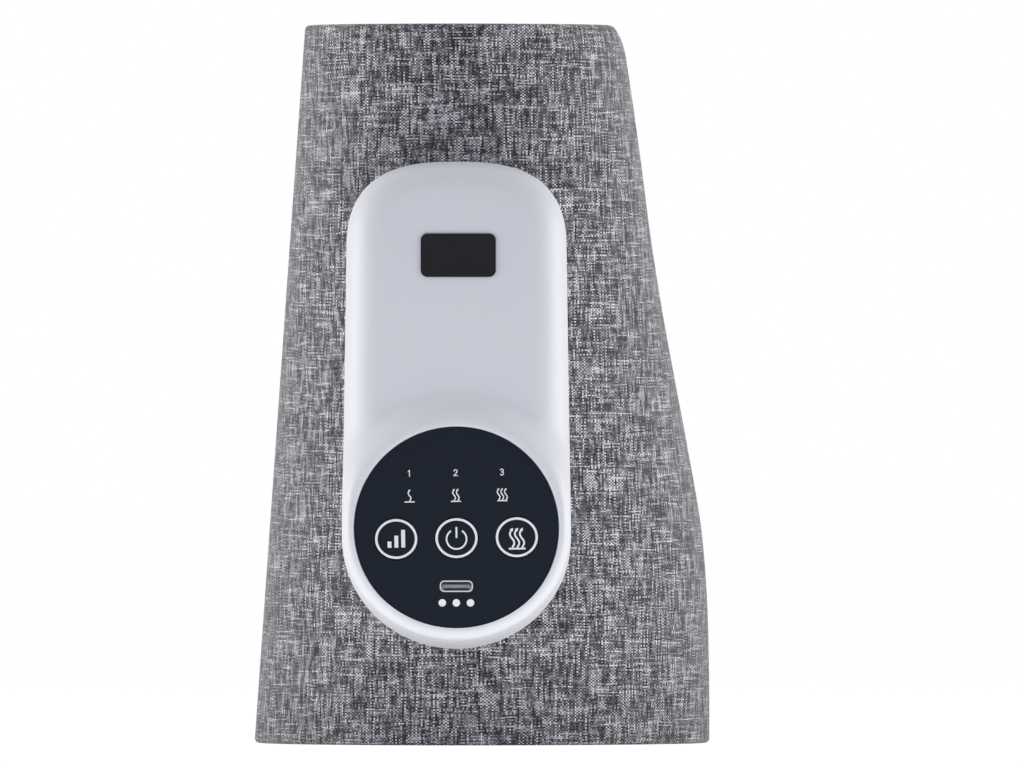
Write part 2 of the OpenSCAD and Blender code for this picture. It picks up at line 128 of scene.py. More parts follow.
cuff = dict(
    height=208, shinLow=58.7, shinHigh=44, frontLow=64, frontHigh=44.5,
    calfSide=[(0, 73.2), (0.1, 73.1), (0.2, 72.5), (0.3, 70.8), (0.4, 67.3), (0.5, 63.4), (0.6, 59.6),
              (0.7, 56.3), (0.8, 53.6), (0.93, 49.8), (0.975, 48), (1, 45.4)],
    calfBack=[(0, 68), (0.2, 69), (0.35, 67), (0.54, 61), (0.75, 53.5), (0.93, 47.5), (1, 46.5)],
    seam=105, seamGap=0.25, flapEnd=205, tuckEnd=181,
    coverThick=1.1, liningThick=0.8, hem=1.3,
    frontPad=8.3, wingPad=9.5,
    flapInner=[(-205, 3.8), (-180, 3.8), (-172.5, 9.5), (0, 9.5)],
    tuckOuter=[(0, 0), (142.5, 0), (150, 5.7), (360, 5.7)],
    bend=15, flapCorner=9, arcStep=2, arcEnd=210, hemTurns=(22, 45, 68, 90), hemStraight=2,
    flatBlock=10)
coverLow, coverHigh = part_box("front_cover")
legX = coverLow[0] + cuff["shinLow"] * mm
legY = coverLow[1] + cuff["frontLow"] * mm


def halfWidth(share, towardsCalf):
    if towardsCalf:
        return smoothUp(cuff["calfSide"], share)
    return mix(cuff["shinLow"], cuff["shinHigh"], share)


def halfDepth(share, towardsFront):
    if towardsFront:
        return mix(cuff["frontLow"], cuff["frontHigh"], share)
    return smoothUp(cuff["calfBack"], share)


def cuffPoint(angle, z, depth):  # a point of the cuff, in metres
    share = max(0.0, min(1.0, z / cuff["height"]))
    s, c = math.sin(math.radians(angle)), math.cos(math.radians(angle))
    wide, deep = halfWidth(share, s > 0), halfDepth(share, c > 0)
    return Vector((legX + (wide - depth) * s * mm, legY - (deep - depth) * c * mm, z * mm))


arcs = {}


def arcLine(row, turn):  # lengths round one row, to one side
    line, total, last = [(0, 0.0)], 0.0, cuffPoint(0, row, 0)
    for angle in range(cuff["arcStep"], cuff["arcEnd"] + 1, cuff["arcStep"]):
        here = cuffPoint(angle * turn, row, 0)
        total += (here - last).length / mm
        line.append((angle, total))
        last = here
    return line


def arcAt(angle, z):  # length along the outer face from the front line, in millimetres
    row = round(z, 1)
    if row not in arcs:
        arcs[row] = (arcLine(row, 1), arcLine(row, -1))
    turn = 1 if angle >= 0 else -1
    return lookUp(arcs[row][0 if turn > 0 else 1], abs(angle)) * turn


def wrapped(piece, corner=None):
    # rolls a flat pattern round the leg: x is the angle, y the height, -z the depth
    uv = piece.data.uv_layers.get("cloth") or piece.data.uv_layers.new(name="cloth")
    flat = [v.co.copy() for v in piece.data.vertices]
    if corner:
        flat = [corner(p) for p in flat]
    cloth = [(arcAt(p.x, min(max(p.y, 0), cuff["height"])), p.y) for p in flat]
    for loop in piece.data.loops:
        uv.data[loop.index].uv = cloth[loop.vertex_index]
    for vertex, p in zip(piece.data.vertices, flat):
        vertex.co = cuffPoint(p.x, p.y, -p.z)
    piece.data.update()
    return piece


def flatGrid(name, angles, heights, step):
    deselectAll()
    bpy.ops.mesh.primitive_grid_add(x_subdivisions=round((angles[1] - angles[0]) / step),
                                    y_subdivisions=round((heights[1] - heights[0]) / step),
                                    size=1, location=(0, 0, 0))
    piece = named(name)
    for v in piece.data.vertices:
        v.co = (mix(*angles, v.co.x + 0.5), mix(*heights, v.co.y + 0.5), 0)
    return piece


def patternPiece(name, angles, heights, depthAt, inward, reachAt, step=2.0, corner=None):
    # a sheet cut flat, with its edges turned in, then rolled round the leg and given its thickness
    hem, straight = cuff["hem"], cuff["hemStraight"]
    x0, x1, y0, y1 = angles[0] + hem, angles[1] - hem, heights[0] + hem, heights[1] - hem
    piece = flatGrid(name, (x0, x1), (y0, y1), step)
    turn = []
    for a in cuff["hemTurns"]:
        turn.append((math.sin(math.radians(a)) * hem, (1 - math.cos(math.radians(a))) * hem))
    turn += [(hem, hem + straight / 2), (hem, hem + straight)]
    bpy.ops.object.mode_set(mode="EDIT")
    bpy.ops.mesh.select_mode(type="EDGE")
    bpy.ops.mesh.select_all(action="DESELECT")
    bpy.ops.mesh.select_non_manifold(extend=False, use_wire=False, use_boundary=True, use_multi_face=False,
                                     use_non_contiguous=False, use_verts=False)
    out, down = 0.0, 0.0
    for nextOut, nextDown in turn:
        bpy.ops.mesh.extrude_region_move()
        shape = bmesh.from_edit_mesh(piece.data)
        for v in shape.verts:
            if v.select:
                for axis, low, high in ((0, x0, x1), (1, y0, y1)):
                    if v.co[axis] < low - out + 0.001:
                        v.co[axis] -= nextOut - out
                    elif v.co[axis] > high + out - 0.001:
                        v.co[axis] += nextOut - out
                v.co.z -= nextDown - down
        bmesh.update_edit_mesh(piece.data)
        out, down = nextOut, nextDown
    if inward:
        bpy.ops.mesh.select_all(action="SELECT")
        bpy.ops.mesh.flip_normals()
    bpy.ops.object.mode_set(mode="OBJECT")
    for v in piece.data.vertices:
        down = -v.co.z
        if down > hem:
            down = mix(hem, reachAt(v.co.x), (down - hem) / straight)
        v.co.z = (down if inward else -down) - depthAt(v.co.x)
    wrapped(piece, corner)
    thick = cuff["liningThick"] if inward else cuff["coverThick"]
    solid = piece.modifiers.new("thickness", "SOLIDIFY")
    solid.thickness = thick * mm
    solid.offset = -1
    solid.use_even_offset = False
    pick(piece)
    bpy.ops.object.modifier_apply(modifier="thickness")
    return piece


def padPiece(name, angles, heights, outerAt, innerAt, step=3.0, roundEdge=1.5):
    # a closed soft block between two depths, with rounded edges, rolled round the leg
    piece = flatGrid(name, angles, heights, step)
    bpy.ops.object.mode_set(mode="EDIT")
    bpy.ops.mesh.select_all(action="SELECT")
    bpy.ops.mesh.extrude_region_move(TRANSFORM_OT_translate={"value": (0, 0, cuff["flatBlock"])})
    bpy.ops.mesh.select_all(action="SELECT")
    bpy.ops.mesh.normals_make_consistent(inside=False)
    bpy.ops.mesh.select_mode(type="EDGE")
    bpy.ops.mesh.select_all(action="DESELECT")
    bpy.ops.mesh.edges_select_sharp(sharpness=math.radians(60))
    bpy.ops.mesh.bevel(offset=roundEdge, segments=3, affect="EDGES")
    bpy.ops.object.mode_set(mode="OBJECT")
    for v in piece.data.vertices:
        v.co.z = -mix(innerAt(v.co.x), outerAt(v.co.x), v.co.z / cuff["flatBlock"])
    return wrapped(piece)


# the control unit's form, in its own frame: x across, y up its face, z out of it

unit = dict(
    wide=32.9, wideTop=31.7, up=108.6, down=32, topStart=82, topPower=2.7,
    face=14, rim=21, faceRound=10, rimRound=3.0, collarIn=30.6, collarOut=41, slim=46,
    panel=29.3, panelGap=0.15, panelTop=20.6, panelThick=1.5, ledge=27.5,
    wall=2, roofExtra=1.6, taper=3, fabricGap=0.4, lean=8, groove=0.22, grooveEdge=0.3, parting=0.04,
    gasket=0.4, skirt=1.5, seatMiddle=30, footShare=0.85, footBeyond=2, leastRound=0.5)
panelLow, panelHigh = (Vector(corner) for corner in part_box("control_panel"))
lean = math.radians(unit["lean"])
unitUp = Vector((0, math.sin(lean), math.cos(lean)))
unitOut = Vector((0, -math.cos(lean), math.sin(lean)))
unitOrigin = (panelLow + panelHigh) / 2 - unitOut * (unit["panelTop"] - unit["panelThick"] / 2) * mm
unitMatrix = Matrix(((1, 0, 0, unitOrigin.x), (0, unitUp.y, unitOut.y, unitOrigin.y),
                     (0, unitUp.z, unitOut.z, unitOrigin.z), (0, 0, 0, 1)))


def onUnit(x, y, z):
    return unitMatrix @ Vector((x * mm, y * mm, z * mm))


def outline(inset, sideSteps=44, arcSteps=60):
    points = []
    for i in range(sideSteps):
        t = (i / sideSteps) ** 1.25
        points.append((mix(unit["wide"], unit["wideTop"], t) - inset, unit["topStart"] * t))
    for i in range(arcSteps + 1):
        a = math.pi * i / arcSteps
        c, s = math.cos(a), math.sin(a)
        power = 2 / unit["topPower"]
        points.append(((unit["wideTop"] - inset) * math.copysign(abs(c) ** power, c),
                       unit["topStart"] + (unit["up"] - unit["topStart"] - inset) * s ** power))
    for i in reversed(range(sideSteps)):
        t = (i / sideSteps) ** 1.25
        points.append((-mix(unit["wide"], unit["wideTop"], t) + inset, unit["topStart"] * t))
    for i in range(1, arcSteps):
        a = math.pi * (1 + i / arcSteps)
        points.append(((unit["wide"] - inset) * math.cos(a), (unit["down"] - inset) * math.sin(a)))
    return points


def faceHeight(x, y):
    return mix(unit["face"], unit["rim"], 1 - ramp(math.hypot(x, y), unit["collarIn"], unit["collarOut"]))


def edgeRound(x, y):
    return mix(unit["rimRound"], unit["faceRound"], ramp(math.hypot(x, y), unit["wide"], unit["slim"]))


edgeLine = outline(0)


def edgeRing(inset, drop, angle):
    s, c = math.sin(math.radians(angle)), math.cos(math.radians(angle))
    radii = [max(edgeRound(x, y) - drop, unit["leastRound"]) for x, y in edgeLine]
    insets = sorted(set(round(inset + r * (1 - c), 3) for r in radii))
    lines = {value: outline(value) for value in insets}
    ring = []
    for i, r in enumerate(radii):
        x, y = lines[round(inset + r * (1 - c), 3)][i]
        ring.append((x, y, faceHeight(x, y) - drop - r + r * s))
    return ring


def faceRing(inset, drop, holeRadius, t):
    radii = [max(edgeRound(x, y) - drop, unit["leastRound"]) for x, y in edgeLine]
    lines = {value: outline(value) for value in set(round(inset + r, 3) for r in radii)}
    ring = []
    for i, r in enumerate(radii):
        x, y = lines[round(inset + r, 3)][i]
        far = math.hypot(x, y)
        foot = min(far, unit["collarOut"] + unit["footBeyond"])
        foot = holeRadius + unit["footShare"] * (foot - holeRadius)
        reach = mix(far, foot, t) if t < 1 else mix(foot, holeRadius, t - 1)
        x, y = x * reach / far, y * reach / far
        ring.append((x, y, faceHeight(x, y) - drop))
    return ring


def roundRing(radius, z):
    return [(x * radius / math.hypot(x, y), y * radius / math.hypot(x, y), z) for x, y in edgeLine]


def flatRing(inset, z):
    return [(x, y, z) for x, y in outline(inset)]


def seatAt(x, y):  # height of the fabric under a point of the unit
    z = -10.0
    for _ in range(5):
        place = onUnit(x, y, z)
        share = place.z / mm / cuff["height"]
        acrossLeg = (place.x - legX) / mm
        wide = halfWidth(share, acrossLeg > 0)
        row = -halfDepth(share, True) * math.sqrt(1 - (acrossLeg / wide) ** 2)
        origin = (unitOrigin.y - legY) / mm
        z = (y * math.sin(lean) + origin - row) / math.cos(lean)
    return z


def seatRing(inset, t, lift):
    ring = []
    for x, y in outline(inset):
        x, y = x * t, mix(unit["seatMiddle"], y, t)
        ring.append((x, y, seatAt(x, y) + lift))
    return ring


def loft(name, rings):
    # a ring of vertices extruded from each outline to the next, the last joined to the first
    count = len(rings[0])
    deselectAll()
    bpy.ops.mesh.primitive_circle_add(vertices=count, radius=1, fill_type="NOTHING", location=(0, 0, 0))
    piece = named(name)
    for v, point in zip(piece.data.vertices, rings[0]):
        v.co = onUnit(*point)
    bpy.ops.object.mode_set(mode="EDIT")
    bpy.ops.mesh.select_mode(type="VERT")
    bpy.ops.mesh.select_all(action="SELECT")
    for ring in rings[1:]:
        shape = bmesh.from_edit_mesh(piece.data)
        shape.verts.ensure_lookup_table()
        before = {tuple(round(c, 8) for c in v.co): k for k, v in enumerate(shape.verts[-count:])}
        bpy.ops.mesh.extrude_region_move()
        shape = bmesh.from_edit_mesh(piece.data)
        shape.verts.ensure_lookup_table()
        fresh = shape.verts[-count:]
        for v in fresh:
            v.co = onUnit(*ring[before[tuple(round(c, 8) for c in v.co)]])
        bmesh.update_edit_mesh(piece.data)
    bpy.ops.mesh.select_all(action="SELECT")
    bpy.ops.mesh.remove_doubles(threshold=0.000005)
    bpy.ops.mesh.normals_make_consistent(inside=False)
    bpy.ops.object.mode_set(mode="OBJECT")
    return piece


# camera

view = dict(distance=8.0, pixel=0.29 * mm, across=1024, legPixel=457.0, eyeHeight=0.104, sensor=36)
bpy.ops.object.camera_add(location=(legX + (view["across"] / 2 - view["legPixel"]) * view["pixel"],
                                    legY - view["distance"], view["eyeHeight"]),
                          rotation=(math.pi / 2, 0, 0))
camera = named("camera")
camera.data.sensor_width = view["sensor"]
camera.data.lens = view["sensor"] * view["distance"] / (view["across"] * view["pixel"])
camera.data.clip_start = 0.1
camera.data.clip_end = 100
bpy.context.scene.camera = camera
bpy.context.scene.view_settings.view_transform = "Standard"
print("camera set, lens", round(camera.data.lens, 1))


# shader maths

class Wire:
    def __init__(self, paint, socket):
        self.paint, self.socket = paint, socket

    def maths(self, operation, *values):
        return self.paint.node("ShaderNodeMath", {"operation": operation}, dict(enumerate(values)), 0)

    def __add__(self, other):
        return self.maths("ADD", self, other)

    def __radd__(self, other):
        return self.maths("ADD", other, self)

    def __sub__(self, other):
        return self.maths("SUBTRACT", self, other)

    def __rsub__(self, other):
        return self.maths("SUBTRACT", other, self)

    def __mul__(self, other):
        return self.maths("MULTIPLY", self, other)

    def __rmul__(self, other):
        return self.maths("MULTIPLY", other, self)

    def __truediv__(self, other):
        return self.maths("DIVIDE", self, other)

    def __pow__(self, other):
        return self.maths("POWER", self, other)

    def __mod__(self, other):
        return self.maths("FLOORED_MODULO", self, other)

    def __abs__(self):
        return self.maths("ABSOLUTE", self)

    def floor(self):
        return self.maths("FLOOR", self)

    def over(self, limit):
        return self.maths("GREATER_THAN", self, limit)


class Paint:
    def __init__(self, name, **fixed):
        self.material = bpy.data.materials.new(name)
        self.material.use_nodes = True
        self.tree = self.material.node_tree
        self.shader = next(n for n in self.tree.nodes if n.type == "BSDF_PRINCIPLED")
        for socket, value in fixed.items():
            self.shader.inputs[socket.replace("_", " ")].default_value = value

    def node(self, kind, settings=None, sockets=None, output=0):
        made = self.tree.nodes.new(kind)
        for key, value in (settings or {}).items():
            if key == "stops":
                elements = made.color_ramp.elements
                while len(elements) < len(value):
                    elements.new(0.5)
                for element, (place, tone) in zip(elements, value):
                    element.position = place
                    element.color = (*tone, 1) if hasattr(tone, "__len__") else (tone, tone, tone, 1)
            else:
                setattr(made, key, value)
        for key, value in (sockets or {}).items():
            self.feed(made.inputs[key], value)
        return Wire(self, made.outputs[output])

    def feed(self, socket, value):
        if isinstance(value, Wire):
            self.tree.links.new(value.socket, socket)
        else:
            socket.default_value = value

    def to(self, name, wire):
        self.feed(self.shader.inputs[name], wire)

    def noise(self, vector, scale, detail=2.0, rough=0.5):
        return self.node("ShaderNodeTexNoise", {"noise_dimensions": "3D"},
                         {"Vector": vector, "Scale": scale, "Detail": detail, "Roughness": rough}, 0)

    def place(self):
        return self.node("ShaderNodeTexCoord", output="Object")

    def vector(self, x, y, z):
        return self.node("ShaderNodeCombineXYZ", None, {0: x, 1: y, 2: z}, 0)

    def split(self, vector):
        parts = self.node("ShaderNodeSeparateXYZ", None, {0: vector}, 0)
        return [Wire(self, parts.socket.node.outputs[i]) for i in range(3)]

    def blendColour(self, factor, a, b):
        made = self.node("ShaderNodeMix", {"data_type": "RGBA"}, {"Factor": factor}, 2)
        self.feed(made.socket.node.inputs[6], a)
        self.feed(made.socket.node.inputs[7], b)
        return made

    def bump(self, height, strength, distance):
        made = self.node("ShaderNodeBump", None,
                         {"Height": height, "Strength": strength, "Distance": distance}, 0)
        self.to("Normal", made)


def weavePaint(name, spec):
    # plain weave: warp and weft cross in turn, and each yarn changes its tone along its length
    paint = Paint(name, Roughness=spec["roughness"], Sheen_Weight=spec["sheen"], Sheen_Roughness=0.5,
                  Specular_IOR_Level=0.08)
    cloth = paint.node("ShaderNodeUVMap", {"uv_map": "cloth"})
    u, v, _ = paint.split(cloth)
    waver = paint.noise(cloth, 0.09, 2.0) - 0.5
    across = (u + waver * spec["waver"]) / spec["warp"]
    along = (v + waver * spec["waver"]) / spec["weft"]
    warpNumber, weftNumber = across.floor(), along.floor()
    warpTone = paint.noise(paint.vector(warpNumber * 0.7, v / spec["slub"], 0.0), 1.0, 3.0, 0.6)
    weftTone = paint.noise(paint.vector(u / spec["weftSlub"], weftNumber * 0.6, 9.0), 1.0, 3.0, 0.6)
    speck = paint.noise(paint.vector(warpNumber * 1.9, weftNumber * 2.3, 4.0), 1.0, 0.0)
    cloud = paint.noise(cloth, spec["cloud"], 3.0, 0.6)
    overWarp = ((warpNumber + weftNumber) % 2.0).over(0.5)
    tone = overWarp * warpTone + (1.0 - overWarp) * (weftTone - spec["weftDark"])
    tone = tone * spec["yarn"] + speck * spec["speck"] + cloud * spec["cloudShare"]
    warpCrown = 1.0 - abs((across - warpNumber) * 2.0 - 1.0) ** 2.5
    weftCrown = 1.0 - abs((along - weftNumber) * 2.0 - 1.0) ** 2.5
    crown = overWarp * warpCrown + (1.0 - overWarp) * weftCrown
    yarn = paint.node("ShaderNodeValToRGB", {"stops": spec["tones"]}, {0: tone})
    # each yarn is painted darker towards its edges and in the gaps between yarns: painted shade
    gap = crown * (1 - spec["gapShade"]) + spec["gapShade"]
    colour = paint.node("ShaderNodeVectorMath", {"operation": "SCALE"}, {0: yarn, "Scale": gap})
    paint.to("Base Color", colour)
    paint.bump(crown + tone * 0.6, spec["bump"], spec["bumpDepth"])
    return paint.material


linen = dict(
    warp=0.565, weft=0.435, slub=8.0, weftSlub=13.0, waver=1.2, cloud=0.2, roughness=0.9, sheen=0.6, yarn=1.0,
    speck=0.2, cloudShare=0.16, gapShade=0.3, weftDark=0.06, bump=0.6, bumpDepth=0.0002,
    tones=[(0.525, (0.017, 0.0162, 0.019)), (0.61, (0.08, 0.077, 0.087)), (0.685, (0.33, 0.321, 0.35)),
           (0.79, (0.98, 0.96, 1.0))])
coverPaint = weavePaint("linenWeave", linen)
liningPaint = weavePaint("liningKnit", dict(
    linen, warp=0.6, weft=0.5, slub=14.0, weftSlub=14.0, waver=0.3, gapShade=0.6, weftDark=0.0, bump=0.4,
    tones=[(0.2, (0.035, 0.035, 0.04)), (0.8, (0.07, 0.07, 0.078))]))


def plainPaint(name, colour, roughness, grain=0.0, grainScale=900.0, shade=0.03, **fixed):
    # a moulded or coated finish: a fine grain and a slight unevenness of tone
    paint = Paint(name, Roughness=roughness, **fixed)
    place = paint.place()
    cloud = paint.noise(place, 38.0, 3.0)
    dark = tuple(c * (1 - shade) for c in colour)
    light = tuple(min(1, c * (1 + shade)) for c in colour)
    paint.to("Base Color", paint.blendColour(cloud, (*dark, 1), (*light, 1)))
    paint.to("Roughness", cloud * 0.08 + (roughness - 0.04))
    if grain:
        paint.bump(paint.noise(place, grainScale, 2.0), grain, 0.00004)
    return paint.material


shellPaint = plainPaint("satinShell", (0.762, 0.77, 0.815), 0.42, grain=0.12, grainScale=1600.0, shade=0.012)
panelPaint = plainPaint("darkPanel", (0.011, 0.0155, 0.0245), 0.4, grain=0.03, shade=0.05,
                        Specular_IOR_Level=0.08)
keyPaint = plainPaint("darkKeys", (0.011, 0.0155, 0.0245), 0.42, grain=0.03, shade=0.05,
                      Specular_IOR_Level=0.08)
badgePaint = plainPaint("badgeGloss", (0.019, 0.018, 0.022), 0.4, grain=0.03, shade=0.05,
                        Specular_IOR_Level=0.08)
printPaint = plainPaint("whitePrint", (0.86, 0.87, 0.88), 0.5, shade=0.01)
lightPaint = plainPaint("lightGuide", (0.95, 0.95, 0.95), 0.3, shade=0.01)
metalPaint = plainPaint("brushedMetal", (0.55, 0.55, 0.56), 0.35, grain=0.1, shade=0.08, Metallic=1.0)
tonguePaint = plainPaint("socketTongue", (0.30, 0.30, 0.35), 0.4, shade=0.05)
gasketPaint = plainPaint("gasketRubber", (0.02, 0.02, 0.02), 0.7, grain=0.1, shade=0.1)
boardPaint = plainPaint("boardMask", (0.03, 0.16, 0.08), 0.35, grain=0.1, shade=0.15)
cellPaint = plainPaint("cellWrap", (0.08, 0.16, 0.4), 0.45, grain=0.2, grainScale=300.0, shade=0.05)
darkPaint = plainPaint("darkMoulding", (0.03, 0.03, 0.033), 0.5, grain=0.1, shade=0.08)
brassPaint = plainPaint("valveBrass", (0.62, 0.46, 0.2), 0.35, grain=0.1, shade=0.08, Metallic=1.0)
tubePaint = plainPaint("hoseSilicone", (0.7, 0.72, 0.74), 0.4, shade=0.04)
heaterPaint = plainPaint("heaterFilm", (0.6, 0.3, 0.06), 0.4, grain=0.2, grainScale=260.0, shade=0.2)
foamPaint = plainPaint("openFoam", (0.62, 0.6, 0.52), 0.95, grain=0.8, grainScale=900.0, shade=0.12)
filmPaint = plainPaint("airFilm", (0.42, 0.46, 0.52), 0.35, grain=0.3, grainScale=160.0, shade=0.06)


def pilePaint(name, colour, scale, depth):
    # hook and loop tape: a close pile of short stiff ends
    paint = Paint(name, Roughness=0.85, Sheen_Weight=0.3)
    place = paint.place()
    pile = paint.node("ShaderNodeTexVoronoi", {"feature": "F1"}, {"Vector": place, "Scale": scale}, 0)
    fuzz = paint.noise(place, scale * 2.5, 2.0)
    dark = tuple(c * 0.45 for c in colour)
    # the pile's raised tips are painted lighter and the gaps between them darker: painted highlight and
    # painted shade
    paint.to("Base Color", paint.blendColour(pile * 1.1, (*[c * 1.5 for c in colour], 1), (*dark, 1)))
    paint.bump((1.0 - pile) + fuzz * 0.4, 0.9, depth)
    return paint.material


hookPaint = pilePaint("hookTape", (0.03, 0.03, 0.033), 900.0, 0.0005)
loopPaint = pilePaint("loopTape", (0.09, 0.09, 0.1), 1300.0, 0.0005)
print("materials made")

# carried-over parts and their finishes

finishes = {
    "control_panel": panelPaint, "panel_gasket": gasketPaint, "badge_plate": badgePaint,
    "mode_marks": printPaint,
    "intensity_button": keyPaint, "power_button": keyPaint, "heat_button": keyPaint,
    "intensity_mark": printPaint, "power_mark": printPaint, "heat_mark": printPaint,
    "usb_shell": metalPaint, "usb_tongue": tonguePaint, "light_pipes": lightPaint, "main_board": boardPaint,
    "key_switches": darkPaint, "battery_pack": cellPaint, "pump_motor": metalPaint, "pump_head": darkPaint,
    "release_valve": brassPaint, "air_manifold": darkPaint, "outlet_hoses": tubePaint,
    "housing_screws": metalPaint, "clamp_plate": darkPaint, "clamp_screws": metalPaint,
    "heating_film": heaterPaint, "cuff_hoses": tubePaint}
for node, material in finishes.items():
    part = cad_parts[node]
    part.data.materials.clear()
    part.data.materials.append(material)
for node in ("control_panel", "light_pipes", "pump_motor", "intensity_button", "power_button", "heat_button",
             "usb_shell"):
    pick(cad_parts[node])
    bpy.ops.object.shade_smooth_by_angle(angle=math.radians(30))

# housings

hole = unit["panel"] + unit["panelGap"]
shelf = unit["panelTop"] - unit["panelThick"] - unit["gasket"]
lip = ((0.35, 0), (0.12, 0.1), (0, 0.35))  # how far out and down the edge of the hole is rounded
faceSteps = (0.2, 0.4, 0.6, 0.8, 0.93, 1, 1.08, 1.16, 1.24, 1.32, 1.4, 1.48, 1.56, 1.64, 1.72, 1.8, 1.88,
             1.94)
upperRings = [flatRing(unit["groove"], unit["parting"]), flatRing(0, unit["grooveEdge"])]
upperRings += [edgeRing(0, 0, a) for a in (0, 8, 16, 24, 32, 40, 48, 56, 64, 72, 80, 90)]
upperRings += [faceRing(0, 0, hole + lip[0][0], t) for t in faceSteps]
upperRings += [roundRing(hole + out, unit["rim"] - drop) for out, drop in lip]
upperRings += [roundRing(hole, shelf), roundRing(unit["ledge"], shelf),
               roundRing(unit["ledge"], shelf - unit["roofExtra"])]
roofDrop = unit["wall"] + unit["roofExtra"]
upperRings += [faceRing(unit["wall"], roofDrop, unit["ledge"] + 1.5, t) for t in (1.8, 1.5, 1.25, 1, 0.5)]
upperRings += [edgeRing(unit["wall"], roofDrop, a) for a in (90, 60, 30, 0)]
upperRings += [flatRing(unit["wall"], unit["parting"]), upperRings[0]]
upper = loft("upperHousing", upperRings)
finish(upper, "front", ["upper_housing"], shellPaint, 35)

clear = unit["fabricGap"]
lowerRings = [seatRing(unit["taper"] + 2.2, t, clear) for t in (0.25, 0.5, 0.75, 1)]
for inset, lift in ((1.2, 0), (0.5, 0.3), (0.1, 0.8), (-0.1, 1.5)):  # the rounded foot of the wall
    lowerRings.append(seatRing(unit["taper"] + inset, 1, clear + lift))
below = lowerRings[-1]
edgeStart = flatRing(0, -unit["skirt"])
for t in (0.25, 0.5, 0.75):
    lowerRings.append([tuple(mix(a, b, t) for a, b in zip(p, q)) for p, q in zip(below, edgeStart)])
lowerRings += [edgeStart, flatRing(0, -unit["grooveEdge"]), flatRing(unit["groove"], -unit["parting"]),
               flatRing(unit["wall"], -unit["parting"]), flatRing(unit["wall"], -unit["skirt"])]
insideFoot = unit["wall"] + unit["taper"]
lowerRings += [seatRing(insideFoot, t, clear + unit["wall"]) for t in (1, 0.75, 0.5, 0.25)]
lowerRings.append(lowerRings[0])
lower = loft("lowerHousing", lowerRings)
finish(lower, "front", ["lower_housing"], shellPaint, 35)
print("housings lofted")

# cuff

seam, gap = cuff["seam"], cuff["seamGap"]
height = cuff["height"]
flapEnd, tuckEnd = cuff["flapEnd"], cuff["tuckEnd"]


def flapCorner(p):
    # the closing flap's free corners are cut round
    r = cuff["flapCorner"]
    edge = max(0.0, r - min(p.y, height - p.y))
    cut = r - math.sqrt(max(0.0, r * r - edge * edge))
    start, end = -seam - gap, -flapEnd
    share = (p.x - start) / (end - start)
    return Vector((mix(start, end, share) + cut * share ** 3, p.y, p.z))


def flapInner(angle):
    return lookUp(cuff["flapInner"], angle)


def tuckOuter(angle):
    return lookUp(cuff["tuckOuter"], angle)


def halfFront(angle):  # how far the hems reach into the pad, so that cover and lining meet
    return cuff["frontPad"] / 2


def halfFlap(angle):
    return flapInner(angle) / 2


def halfTuck(angle):
    return (cuff["wingPad"] - tuckOuter(angle)) / 2


frontEnds, leftEnds, rightEnds = (-seam + gap, seam - gap), (-flapEnd, -seam - gap), (seam + gap, tuckEnd)
frontCover = patternPiece("frontCover", frontEnds, (0, height), lambda a: 0.0, False, halfFront)
frontLining = patternPiece("frontLining", frontEnds, (0, height), lambda a: cuff["frontPad"], True, halfFront,
                           step=3.0)
leftCover = patternPiece("leftCover", leftEnds, (0, height), lambda a: 0.0, False, halfFlap,
                         corner=flapCorner)
leftLining = patternPiece("leftLining", leftEnds, (0, height), flapInner, True, halfFlap, corner=flapCorner)
rightCover = patternPiece("rightCover", rightEnds, (0, height), tuckOuter, False, halfTuck)
rightLining = patternPiece("rightLining", rightEnds, (0, height), lambda a: cuff["wingPad"], True, halfTuck,
                           step=3.0)

foam = dict(sideGap=1.5, endGap=1.8, outer=1.3, inner=6.8)
frontFoam = padPiece("frontFoam", (-seam + foam["sideGap"], seam - foam["sideGap"]),
                     (foam["endGap"], height - foam["endGap"]), lambda a: foam["outer"],
                     lambda a: foam["inner"])

bladders = dict(sideGap=1.5, outer=1.4, liningGap=1.0, roundEdge=2.5, lower=(2, 102), upper=(105, 206),
                leftReach=-171, rightReach=141.5)
inner = cuff["wingPad"] - bladders["liningGap"]
leftAngles = (bladders["leftReach"], -seam - bladders["sideGap"])
rightAngles = (seam + bladders["sideGap"], bladders["rightReach"])


def bladder(name, angles, heights):
    return padPiece(name, angles, heights, lambda a: bladders["outer"], lambda a: inner,
                    roundEdge=bladders["roundEdge"])


leftLower = bladder("leftBladderLower", leftAngles, bladders["lower"])
leftUpper = bladder("leftBladderUpper", leftAngles, bladders["upper"])

cores = dict(endGap=2, outer=1.3, liningGap=1.0, roundEdge=0.6, flapStart=-173.5, tuckStart=143)
coreHeights = (cores["endGap"], height - cores["endGap"])
leftCore = padPiece("leftFlapCore", (-flapEnd + cores["endGap"], cores["flapStart"]), coreHeights,
                    lambda a: cores["outer"], lambda a: flapInner(a) - cores["liningGap"],
                    roundEdge=cores["roundEdge"])
rightLower = bladder("rightBladderLower", rightAngles, bladders["lower"])
rightUpper = bladder("rightBladderUpper", rightAngles, bladders["upper"])
rightCore = padPiece("rightTuckCore", (cores["tuckStart"], tuckEnd - cores["endGap"]), coreHeights,
                     lambda a: tuckOuter(a) + cores["outer"], lambda a: inner, roundEdge=cores["roundEdge"])

tape = dict(loopAngles=(157, 180), loopHeights=(10.5, 193.4), loopDepths=(5.0, 5.75),
            hookAngles=(-203.5, -183), hookRows=[(16.6, 78.6), (124.8, 186.8)], hookDepths=(3.75, 4.6),
            roundEdge=0.3)
loopPatch = padPiece("loopPatch", tape["loopAngles"], tape["loopHeights"], lambda a: tape["loopDepths"][0],
                     lambda a: tape["loopDepths"][1], roundEdge=tape["roundEdge"])
strips = [padPiece("hookStrips", tape["hookAngles"], heights, lambda a: tape["hookDepths"][0],
                   lambda a: tape["hookDepths"][1], roundEdge=tape["roundEdge"])
          for heights in tape["hookRows"]]
pick(strips[0])
strips[1].select_set(True)
bpy.ops.object.join()
hookStrips = named("hookStrips")
print("cuff pieces made")

